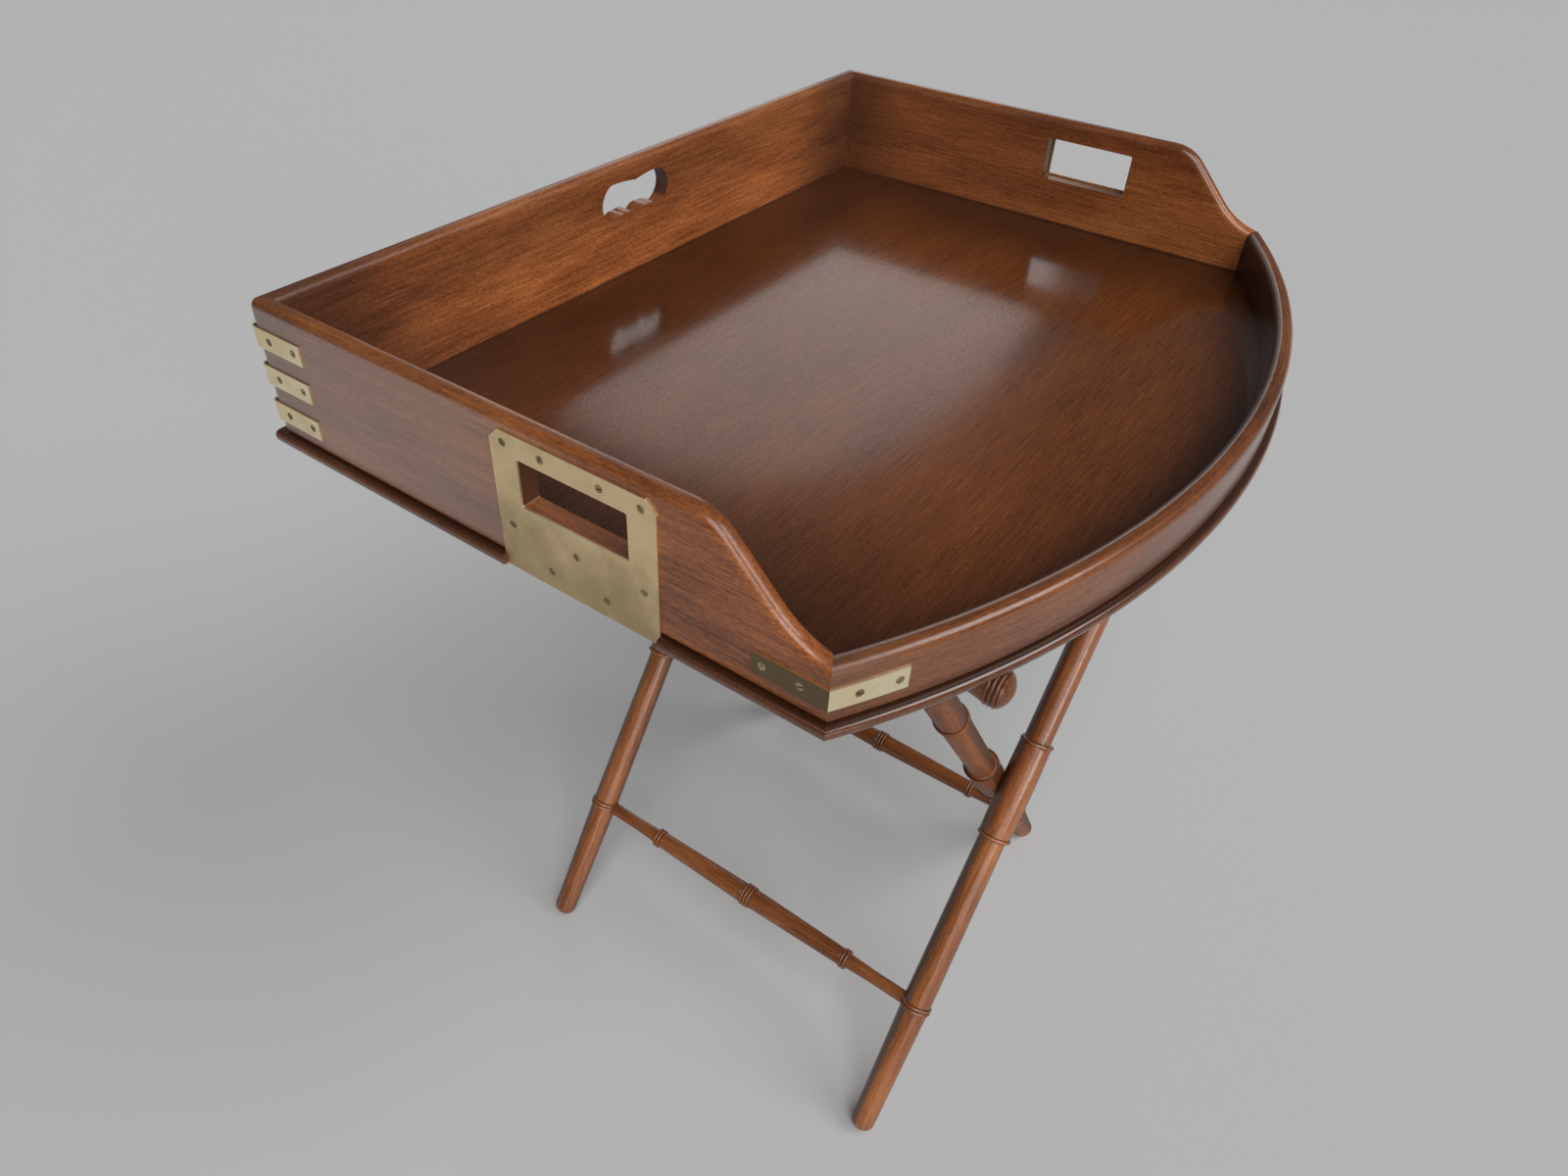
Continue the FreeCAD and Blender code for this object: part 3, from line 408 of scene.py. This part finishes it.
def mahogany(name, grain, tone, tints, gloss=0.16, edge_light_and_wear=0.12, polish=0.2, light=1.0, dull=0.0,
             shine=0.5, figured=1.0, fineness=0.2, under=0.0):
    """French-polished mahogany: slow figure, fine streaks, short open pores, and edges toned dark with stain
    and painted shade. The polish is one weight all over or a function that gives it, and under is how rough
    the underside is. light scales the tints lighter or darker as painted light and shade, and the edge amount
    lightens up-facing rounded edges as rubbing and painted light."""
    finish = Finish(name)
    along, across, through = grain(finish)
    figure = finish.noise(finish.vector(along * 4, across * 20, through * 20), 1, 3, 0.55)
    cloud = finish.noise(finish.vector(along * 7, across * 14, through * 14), 1, 2)
    streak = finish.noise(finish.vector(along * 26, across * 520, through * 520), 1, 2)
    fleck = finish.noise(finish.vector(along * 230, across * 1300, through * 1300), 1, 1)
    pore = finish.noise(finish.vector(along * 220, across * 2000, through * 2000), 1, 1)
    pores = finish.rise(pore, 0.57, 0.66)
    slow = (figure * 0.36 + cloud * 0.18 - 0.27) * figured
    blend = slow + streak * 0.24 + fleck * fineness + 0.38 - fineness / 2
    # light scales the tints of a piece lighter or darker: painted light and shade
    stops = [(place, [light * part for part in tint]) for place, tint in zip(stop_places, tints)]
    wood = finish.ramp(blend, stops)
    wood = finish.mix(pores * 0.55, wood, dark_stain_and_shade)
    # Up-facing rounded edges made lighter: rubbing, and painted light from above
    if edge_light_and_wear:
        up = finish.facing()[2]
        edge = finish.rise(up, 0.2, 0.6) * finish.rise(up, 0.999, 0.985)
        wood = finish.mix(edge * edge_light_and_wear, wood, lit_worn_edge)
    # Darkened where the tone says: real toning and stain, and painted shade
    toning_and_shade = finish.rise(tone(finish) + (cloud - 0.5) * 0.3, 0.0, 1.0)
    wood = finish.mix(toning_and_shade * 0.8, wood, dark_stain_and_shade)
    height = streak * 0.3 - pores
    unpolished = finish.rise(finish.facing()[2], -0.5, -0.9) * under
    roughness = gloss + streak * 0.05 + pores * 0.1 + toning_and_shade * dull + unpolished
    coat = polish(finish) if callable(polish) else polish
    finish.shade(Coat_Weight=coat, Coat_Roughness=0.25, Coat_IOR=1.9, Specular_IOR_Level=shine)
    finish.shade(Base_Color=wood, Roughness=roughness, Normal=finish.bump(height, 0.06, 0.0002))
    return finish.material


tray_tints = [
    (0.060, 0.017, 0.006),
    (0.160, 0.047, 0.014),
    (0.255, 0.080, 0.023),
    (0.370, 0.135, 0.041),
]
floor_tints = [
    (0.045, 0.013, 0.004),
    (0.105, 0.030, 0.008),
    (0.165, 0.048, 0.012),
    (0.240, 0.078, 0.020),
]
stand_tints = [
    (0.085, 0.025, 0.007),
    (0.200, 0.060, 0.016),
    (0.320, 0.105, 0.030),
    (0.440, 0.165, 0.050),
]


# Aged brass
def aged_brass(name, bright, dull, gloss, foot_shade=0.0, painted_dark_side=0.0):
    """Satin brass, rubbed lengthwise and tarnished in clouds, with painted shade making the foot of a plate
    darker and duller as a reflection of the shade below it, and a painted dark reflection where the front
    corners' straps run along the sides."""
    finish = Finish(name)
    x, y, z = finish.place()
    cloud = finish.noise(finish.vector(x, y, z), 22, 4, 0.6)
    spot = finish.noise(finish.vector(x, y, z), 420, 2)
    rub = finish.noise(finish.vector(x * 90, y * 90, z * 2600), 1, 2)
    # Painted shade: darker towards the foot of a plate, as a reflection of the shade below
    foot = finish.rise(z, plate_high.z - 0.02, plate_low.z) * foot_shade
    tarnish_and_foot_shade = finish.rise(cloud * 0.8 + spot * 0.12 + rub * 0.08 + foot, 0.4, 0.66 + foot_shade)
    metal = finish.mix(tarnish_and_foot_shade, bright, dull)
    metal = finish.mix(finish.rise(spot, 0.68, 0.78) * 0.3, metal, colour(0.16, 0.11, 0.05))
    # Painted dark reflection on the side legs of the front straps
    front_side = finish.rise(abs(finish.facing()[0]), 0.6, 0.9) * finish.rise(y, 0.0, -0.1)
    metal = finish.mix(front_side * painted_dark_side, metal, colour(0.13, 0.088, 0.042))
    finish.shade(Base_Color=metal, Metallic=1.0, Roughness=gloss + rub * 0.12 + tarnish_and_foot_shade * 0.08,
                 Normal=finish.bump(rub, 0.08, 0.0002))
    return finish.material


def bare_steel():
    """Drawn steel with fine turning marks."""
    finish = Finish("drawn steel")
    x, y, z = finish.place()
    marks = finish.noise(finish.vector(x * 300, y * 4000, z * 300), 1, 2)
    rust = finish.rise(finish.noise(finish.vector(x, y, z), 420, 3), 0.58, 0.72)
    metal = finish.mix(rust, colour(0.42, 0.41, 0.40), colour(0.12, 0.06, 0.03))
    finish.shade(Base_Color=metal, Metallic=1.0 - rust * 0.6, Roughness=0.3 + marks * 0.15 + rust * 0.3,
                 Normal=finish.bump(marks, 0.1, 0.0001))
    return finish.material


def woven_webbing():
    """Cotton webbing in a herringbone twill, with two darker lines near its edges."""
    finish = Finish("cotton webbing")
    made = finish.tree.nodes.new("ShaderNodeUVMap")
    made.uv_map = "weave"
    along, across = finish.split(Wire(finish, made.outputs[0]))[:2]
    rib = finish.math("PINGPONG", across / 0.006, 1.0)
    twill = finish.math("PINGPONG", along / 0.0022 + rib * 2.6, 0.5) * 2
    yarn = finish.math("PINGPONG", across / 0.0011, 0.5) * 2
    fuzz = finish.noise(finish.vector(along, across, 0.0), 900, 2)
    line = finish.rise(abs(abs(across) - 0.017), 0.0017, 0.0011)
    soil = finish.noise(finish.vector(along, across, 0.0), 22, 3)
    thread = finish.mix(twill * 0.6 + fuzz * 0.3, colour(0.20, 0.15, 0.095), colour(0.40, 0.33, 0.23))
    thread = finish.mix(line * 0.8, thread, colour(0.15, 0.055, 0.032))
    thread = finish.mix(finish.rise(soil, 0.5, 0.75) * 0.4, thread, colour(0.14, 0.10, 0.065))
    finish.shade(Base_Color=thread, Roughness=0.82 + fuzz * 0.12,
                 Normal=finish.bump(twill * 0.6 + yarn * 0.4, 0.5, 0.0004))
    return finish.material


def give(material, *names):
    for name in names:
        mesh = nodes[name].data
        mesh.materials.clear()
        mesh.materials.append(material)


# light makes each piece's tints lighter or darker as painted light and shade: the back lightest and the bow
# darkest
floor_finish = mahogany("polished floor", grain_along_x, tone_floor, floor_tints, gloss=0.09, edge_light_and_wear=0,
                        polish=bead_polish, figured=0.45, under=0.5)
give(mahogany("polished back", grain_along_x, tone_back, tray_tints, polish=0, light=1.6, dull=0.25),
     "back_board")
for side_name, depth, light in (("left", 0.5, 1.35), ("right", 0.0, 1.25)):
    board = mahogany(f"polished {side_name} side", grain_along_y, tone_side(depth), tray_tints,
                     polish=side_polish, light=light, dull=0.1)
    give(board, f"{side_name}_side")
bow_finish = mahogany("polished bow", grain_along_bow, tone_bow, tray_tints, edge_light_and_wear=0.06, light=0.72,
                      dull=0.4)
for frame_name, direction, gloss, shine in (("outer", 1, 0.2, 0.8), ("inner", -1, 0.42, 0.2)):
    legs = mahogany(f"turned {frame_name} legs", grain_along_leg(direction), tone_leg(direction), stand_tints,
                    gloss=gloss, edge_light_and_wear=0, polish=0, shine=shine, fineness=0.14)
    give(legs, f"{frame_name}_leg_front", f"{frame_name}_leg_back")
rods = mahogany("turned rods", grain_along_y, tone_rod, stand_tints, gloss=0.24, edge_light_and_wear=0, polish=0,
                light=0.85, fineness=0.14)
rod_names = ("stretcher", "rail", "knob_front", "knob_back")
give(rods, *[f"{frame_name}_{rod}" for frame_name in ("outer", "inner") for rod in rod_names])

plate_brass = aged_brass("aged brass plate", colour(0.92, 0.71, 0.42), colour(0.50, 0.37, 0.20), 0.34,
                         foot_shade=0.3)
strap_brass = aged_brass("aged brass strap", colour(1.0, 0.89, 0.61), colour(0.90, 0.75, 0.47), 0.30,
                         painted_dark_side=0.95)
dark_brass = aged_brass("darkened brass screw", colour(0.46, 0.36, 0.20), colour(0.24, 0.18, 0.10), 0.3)
for name in nodes:
    if "screws" in name:
        give(dark_brass, name)
    elif "plate" in name:
        give(plate_brass, name)
    elif "strap" in name:
        give(strap_brass, name)
steel = bare_steel()
give(steel, "pivot_pin_front", "pivot_pin_back", "outer_tacks", "inner_tacks")


# The bow and the base again, each with one smooth curve in place of its many-sided solid
def select_points(piece, wanted):
    """Selects the points of the piece in edit mode that the test picks."""
    bpy.ops.mesh.select_mode(type="VERT")
    bpy.ops.mesh.select_all(action="DESELECT")
    mesh = bmesh.from_edit_mesh(piece.data)
    for point in mesh.verts:
        point.select = wanted(piece.matrix_world @ point.co)
    mesh.select_flush(True)
    bmesh.update_edit_mesh(piece.data)


def select_edges(piece, wanted):
    """Selects the edges of the piece in edit mode whose two ends the test picks."""
    bpy.ops.mesh.select_mode(type="EDGE")
    bpy.ops.mesh.select_all(action="DESELECT")
    mesh = bmesh.from_edit_mesh(piece.data)
    for edge in mesh.edges:
        edge.select = wanted(*[piece.matrix_world @ point.co for point in edge.verts])
    mesh.select_flush_mode()
    bmesh.update_edit_mesh(piece.data)


def make_bow(material):
    """The bow's section, rounded on top and quirked at its foot, swept round and mitred at both ends."""
    hub = Vector((0, bow_centre, (bow_low.z + bow_high.z) / 2))
    turn = math.asin(half_width / bow_radius) + 2 * board_thickness / bow_radius
    middle_radius = bow_radius - board_thickness / 2
    end = hub - Vector((math.sin(turn), math.cos(turn), 0)) * middle_radius
    bpy.ops.object.select_all(action="DESELECT")
    bpy.ops.mesh.primitive_plane_add(size=1, location=end, rotation=(math.pi / 2, 0, -math.pi / 2 - turn))
    bow = bpy.context.active_object
    bow.name = "bow_rail_swept"
    bow.scale = (board_thickness, bow_high.z - bow_low.z, 1)
    bpy.ops.object.transform_apply(location=True, rotation=True, scale=True)
    bpy.ops.object.mode_set(mode="EDIT")
    select_points(bow, lambda point: point.z > hub.z)
    bpy.ops.mesh.bevel(affect="VERTICES", offset=edge_round, offset_type="OFFSET", segments=10)
    select_points(bow, lambda point: point.z < hub.z and (point - hub).length > middle_radius)
    bpy.ops.mesh.bevel(affect="VERTICES", offset=quirk, offset_type="OFFSET", segments=1)
    bpy.ops.mesh.select_all(action="SELECT")
    bpy.ops.mesh.spin(steps=120, angle=-2 * turn, center=hub, axis=(0, 0, 1))
    corner = Vector((half_width, side_low.y, 0))
    inner_x = half_width - board_thickness
    inner_y = bow_centre - math.sqrt((bow_radius - board_thickness) ** 2 - inner_x ** 2)
    mitre = (corner - Vector((inner_x, inner_y, 0))).normalized()
    for side in (1, -1):
        bpy.ops.mesh.select_all(action="SELECT")
        bpy.ops.mesh.bisect(
            plane_co=(side * corner.x, corner.y, 0), plane_no=(-side * mitre.y, mitre.x, 0),
            use_fill=True, clear_outer=True)
    bpy.ops.mesh.select_all(action="SELECT")
    bpy.ops.mesh.normals_make_consistent(inside=False)
    bpy.ops.object.mode_set(mode="OBJECT")
    bpy.ops.object.shade_smooth_by_angle(angle=smooth_angle)
    bow.data.materials.append(material)
    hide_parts("bow_rail")
    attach(bow, "tray")


make_bow(bow_finish)


def start_board(name, x, y, radius, low):
    """A flat outline in the tray's plan, left in edit mode, with the bow's arc in front."""
    bpy.ops.object.select_all(action="DESELECT")
    bpy.ops.mesh.primitive_circle_add(
        vertices=720, radius=radius, fill_type="NGON", location=(0, bow_centre, low))
    board = bpy.context.active_object
    board.name = name
    bpy.ops.object.transform_apply(location=True, rotation=True, scale=True)
    bpy.ops.object.mode_set(mode="EDIT")
    for place, outward in (((x, 0, 0), (1, 0, 0)), ((-x, 0, 0), (-1, 0, 0)), ((0, y, 0), (0, 1, 0))):
        bpy.ops.mesh.select_all(action="SELECT")
        bpy.ops.mesh.bisect(plane_co=place, plane_no=outward, clear_outer=True)
    return board


def raise_board(height):
    """Gives the outline in edit mode its thickness."""
    bpy.ops.mesh.select_all(action="SELECT")
    bpy.ops.mesh.extrude_region_move(TRANSFORM_OT_translate={"value": (0, 0, height)})
    bpy.ops.mesh.select_all(action="SELECT")
    bpy.ops.mesh.normals_make_consistent(inside=False)


def notch_bead(base, side):
    """Cuts the bead away where a handle plate passes it."""
    overhang = base_high.x - half_width
    bpy.ops.object.select_all(action="DESELECT")
    bpy.ops.mesh.primitive_cube_add(
        size=1, location=(side * (half_width + overhang), hand_hole_y, (base_low.z + bead_top) / 2))
    cutter = bpy.context.active_object
    cutter.scale = (2 * overhang, plate_high.y - plate_low.y + 2 * board_gap, 2 * overhang)
    bpy.ops.object.transform_apply(location=True, rotation=True, scale=True)
    bpy.context.view_layer.objects.active = base
    notch = base.modifiers.new("notch", "BOOLEAN")
    notch.operation = "DIFFERENCE"
    notch.object = cutter
    bpy.ops.object.modifier_apply(modifier=notch.name)
    bpy.data.objects.remove(cutter)


def make_base(material):
    """The base with its half-round bead, and the floor panel raised inside the walls."""
    base = start_board("tray_base_beaded", base_high.x, base_high.y, bow_centre - base_low.y, base_low.z)
    select_points(base, lambda point: abs(point.x) > base_high.x - near and point.y > base_high.y - near)
    bpy.ops.mesh.bevel(affect="VERTICES", offset=base_corner_round, offset_type="OFFSET", segments=6)
    raise_board(bead_top - base_low.z)
    select_edges(base, lambda start, end: abs(start.z - end.z) < 1e-5)
    bpy.ops.mesh.bevel(affect="EDGES", offset=bead_round, offset_type="OFFSET", segments=6)
    bpy.ops.object.mode_set(mode="OBJECT")
    for side in (1, -1):
        notch_bead(base, side)
    inner_x = half_width - board_thickness - board_gap
    sunk = bead_top - bead_round / 2
    panel = start_board(
        "floor_panel", inner_x, inner_back - board_gap, bow_radius - board_thickness - board_gap, sunk)
    raise_board(tray_floor - sunk)
    bpy.ops.object.mode_set(mode="OBJECT")
    base.select_set(True)
    bpy.context.view_layer.objects.active = base
    bpy.ops.object.join()
    bpy.ops.object.shade_smooth_by_angle(angle=smooth_angle)
    base.data.materials.clear()
    base.data.materials.append(material)
    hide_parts("tray_base")
    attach(base, "tray")


make_base(floor_finish)


# Webbing between the rails
def run_along(point):
    """How far along the strap a point is, from its middle."""
    span = outer_rail.x - pivot.x
    out = abs(point.x - pivot.x) - span
    sign = math.copysign(1, point.x - pivot.x)
    if out <= 0:
        return point.x - pivot.x
    drop = outer_rail.z - point.z
    if drop > 0:
        return sign * (span + strap_radius * math.pi / 2 + drop)
    return sign * (span + strap_radius * math.atan2(out, -drop))


def lay_weave(strap, middle):
    """Writes how far along and across the weave each corner is."""
    weave = strap.data.uv_layers.active or strap.data.uv_layers.new()
    weave.name = "weave"
    for loop in strap.data.loops:
        point = strap.data.vertices[loop.vertex_index].co
        weave.data[loop.index].uv = (run_along(point), point.y - middle)


def make_webbing(name, material):
    """A strap stretched over both rails and turned down their outer sides."""
    low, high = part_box(name)
    middle = (low.y + high.y) / 2
    span = outer_rail.x - inner_rail_x
    tail_steps = 4
    bpy.ops.object.select_all(action="DESELECT")
    bpy.ops.mesh.primitive_grid_add(
        x_subdivisions=90, y_subdivisions=10, size=1,
        location=(pivot.x, middle, outer_rail.z + strap_radius))
    strap = bpy.context.active_object
    strap.name = name + "_woven"
    bpy.ops.object.mode_set(mode="EDIT")
    bpy.ops.transform.resize(value=(span, high.y - low.y, 1))
    for rail_x, sign in ((outer_rail.x, 1), (inner_rail_x, -1)):
        select_edges(strap, lambda start, end: max(abs(start.x - rail_x), abs(end.x - rail_x)) < near)
        bpy.ops.mesh.spin(steps=10, angle=-sign * math.pi / 2,
                          center=(rail_x, middle, outer_rail.z), axis=(0, 1, 0))
        for step in range(tail_steps):
            bpy.ops.mesh.extrude_region_move(
                TRANSFORM_OT_translate={"value": (0, 0, -webbing_tail / tail_steps)})
    bpy.ops.object.mode_set(mode="OBJECT")
    bpy.ops.object.transform_apply(location=True, rotation=True, scale=True)
    lay_weave(strap, middle)
    solid = strap.modifiers.new("thickness", "SOLIDIFY")
    solid.thickness = webbing_thickness
    solid.offset = 0
    bpy.ops.object.modifier_apply(modifier=solid.name)
    bpy.ops.object.shade_smooth()
    strap.data.materials.append(material)
    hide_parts(name)
    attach(strap, "outer_rail")
    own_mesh(strap)


webbing = woven_webbing()
for name in ("webbing_front", "webbing_back"):
    make_webbing(name, webbing)


# Camera, solved from the photograph's straight edges
image_width = 1600
image_height = 1200
focal_pixels = 1086.7
principal_point = (766.4, 603.3)
camera_place = Vector((-0.7299, -0.3725, 1.1765))
camera_right = Vector((0.5901, -0.8068, 0.0305))
camera_up = Vector((0.5101, 0.4018, 0.7605))


def make_camera():
    lens = bpy.data.cameras.new("photograph")
    lens.sensor_fit = "HORIZONTAL"
    lens.sensor_width = 36
    lens.lens = lens.sensor_width * focal_pixels / image_width
    lens.shift_x = (image_width / 2 - principal_point[0]) / image_width
    lens.shift_y = (principal_point[1] - image_height / 2) / image_width
    camera = bpy.data.objects.new("photograph", lens)
    back = camera_right.cross(camera_up)
    turn = Matrix((camera_right, camera_up, back)).transposed().to_4x4()
    camera.matrix_world = Matrix.Translation(camera_place) @ turn
    bpy.context.scene.collection.objects.link(camera)
    bpy.context.scene.camera = camera


make_camera()


# Floor and light
floor_grey = 0.49
floor_drop = 0.0002
world_level = 0.09


def make_floor():
    bpy.ops.object.select_all(action="DESELECT")
    bpy.ops.mesh.primitive_plane_add(size=30, location=(0, 0, -floor_drop))
    floor = bpy.context.active_object
    floor.name = "studio_floor"
    finish = Finish("studio floor")
    finish.shade(Base_Color=colour(floor_grey, floor_grey, floor_grey), Roughness=0.9, Specular_IOR_Level=0.1)
    floor.data.materials.append(finish.material)


def make_lamp(name, bearing, height, spread, power):
    """A far soft lamp, seen in this direction: degrees from +X towards +Y, and up from the floor."""
    light = bpy.data.lights.new(name, "SUN")
    light.angle = math.radians(spread)
    light.energy = power
    lamp = bpy.data.objects.new(name, light)
    turn = math.radians(bearing)
    rise = math.radians(height)
    towards = Vector((math.cos(turn) * math.cos(rise), math.sin(turn) * math.cos(rise), math.sin(rise)))
    lamp.matrix_world = towards.to_track_quat("Z", "Y").to_matrix().to_4x4()
    bpy.context.scene.collection.objects.link(lamp)


def make_light():
    world = bpy.data.worlds.new("studio")
    bpy.context.scene.world = world
    world.use_nodes = True
    background = world.node_tree.nodes["Background"]
    background.inputs["Color"].default_value = colour(1, 1, 1)
    background.inputs["Strength"].default_value = world_level
    make_lamp("window", bearing=35, height=19, spread=31, power=0.265)
    make_lamp("key", bearing=-137, height=50, spread=44, power=2.05)
    make_lamp("right", bearing=-66, height=42, spread=34, power=1.15)
    make_lamp("front", bearing=-126, height=8, spread=54, power=0.9)
    make_lamp("strip", bearing=-113, height=2, spread=18, power=0.35)


make_floor()
make_light()
bpy.context.scene.view_settings.view_transform = "Standard"
